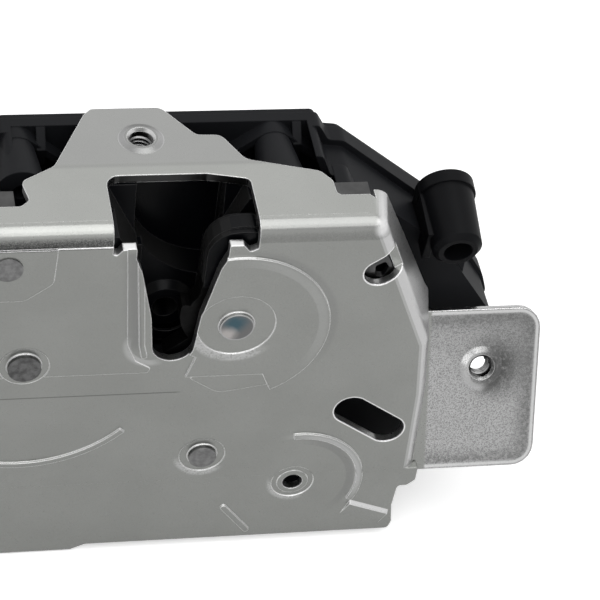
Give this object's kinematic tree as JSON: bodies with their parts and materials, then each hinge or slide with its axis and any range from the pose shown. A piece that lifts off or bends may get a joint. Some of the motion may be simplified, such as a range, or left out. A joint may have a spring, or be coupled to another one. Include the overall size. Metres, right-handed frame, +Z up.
{
  "type": "tailgate lock actuator",
  "caption": "Tailgate lock with a folded steel striker plate, catch and pawl in a slotted mouth, and a geared motor release in a black plastic housing.",
  "frame": {"origin": "middle of the width and depth, at the lower edge of the striker plate", "axes": "+X to the right seen from the front, +Y to the back, away from the striker plate, +Z up, out of the striker mouth"},
  "size_m": [0.1766, 0.0456, 0.0989],
  "materials": {
    "zinc_plate": "satin zinc",
    "inner_steel": "satin zinc",
    "pin_steel": "turned",
    "hard_steel": "phosphated",
    "spring_steel": "oiled",
    "motor_steel": "satin",
    "black_plastic": "fine grain",
    "black_gloss": "smooth",
    "rubber_black": "matte",
    "gear_plastic": "natural",
    "red_plastic": "smooth",
    "brass": "plain"
  },
  "bodies": {
    "lock_body": {"striker_plate": "zinc_plate", "inner_plate": "inner_steel", "catch_pin": "pin_steel", "pawl_pin": "pin_steel", "spacer_rivets": "pin_steel", "catch_spring": "spring_steel", "pawl_spring": "spring_steel", "stop_buffer": "rubber_black", "mouth_liner": "black_gloss", "housing": "black_plastic", "guide_boss": "black_plastic", "rear_cover": "black_plastic", "cover_screws": "pin_steel", "motor_can": "motor_steel", "motor_end_cap": "black_plastic", "motor_terminals": "brass", "gear_pin": "pin_steel", "switch_body": "black_plastic", "switch_terminals": "brass", "connector_socket": "black_plastic", "connector_pins": "brass", "motor_cradle": "black_plastic"},
    "catch_body": {"catch": "hard_steel", "catch_cover": "black_gloss"},
    "pawl_body": {"pawl": "hard_steel"},
    "gear_body": {"drive_gear": "gear_plastic"},
    "rotor": {"motor_shaft": "pin_steel", "worm": "brass"},
    "plunger": {"switch_plunger": "red_plastic"}
  },
  "joints": [
    {"name": "catch_turn", "type": "hinge", "parent": "lock_body", "child": "catch_body", "pos_m": [0.0132, 0, 0.0705], "axis": [0, -1, 0], "range_deg": [0, 50], "stiffness_Nm_per_rad": 0.04, "springref_deg": -28.65},
    {"name": "gear_spin", "type": "hinge", "parent": "lock_body", "child": "gear_body", "pos_m": [-0.0439, 0, 0.0438], "axis": [0, -1, 0], "range_deg": [0, 120]},
    {"name": "pawl_lift", "type": "hinge", "parent": "lock_body", "child": "pawl_body", "pos_m": [-0.0317, 0, 0.0603], "axis": [0, -1, 0], "range_deg": [-0.05, 5.55]},
    {"name": "worm_spin", "type": "hinge", "parent": "lock_body", "child": "rotor", "pos_m": [-0.0439, 0.0058, 0.028], "axis": [1, 0, 0], "continuous": true},
    {"name": "plunger_push", "type": "slide", "parent": "lock_body", "child": "plunger", "axis": [1, 0, 0], "range_m": [0, 0.00121]}
  ],
  "couplings": [
    {"joint": "pawl_lift", "follows": "gear_spin", "ratio": 0.045833},
    {"joint": "worm_spin", "follows": "gear_spin", "ratio": -32},
    {"joint": "plunger_push", "follows": "catch_turn", "m_per_rad": 0.0013751}
  ]
}
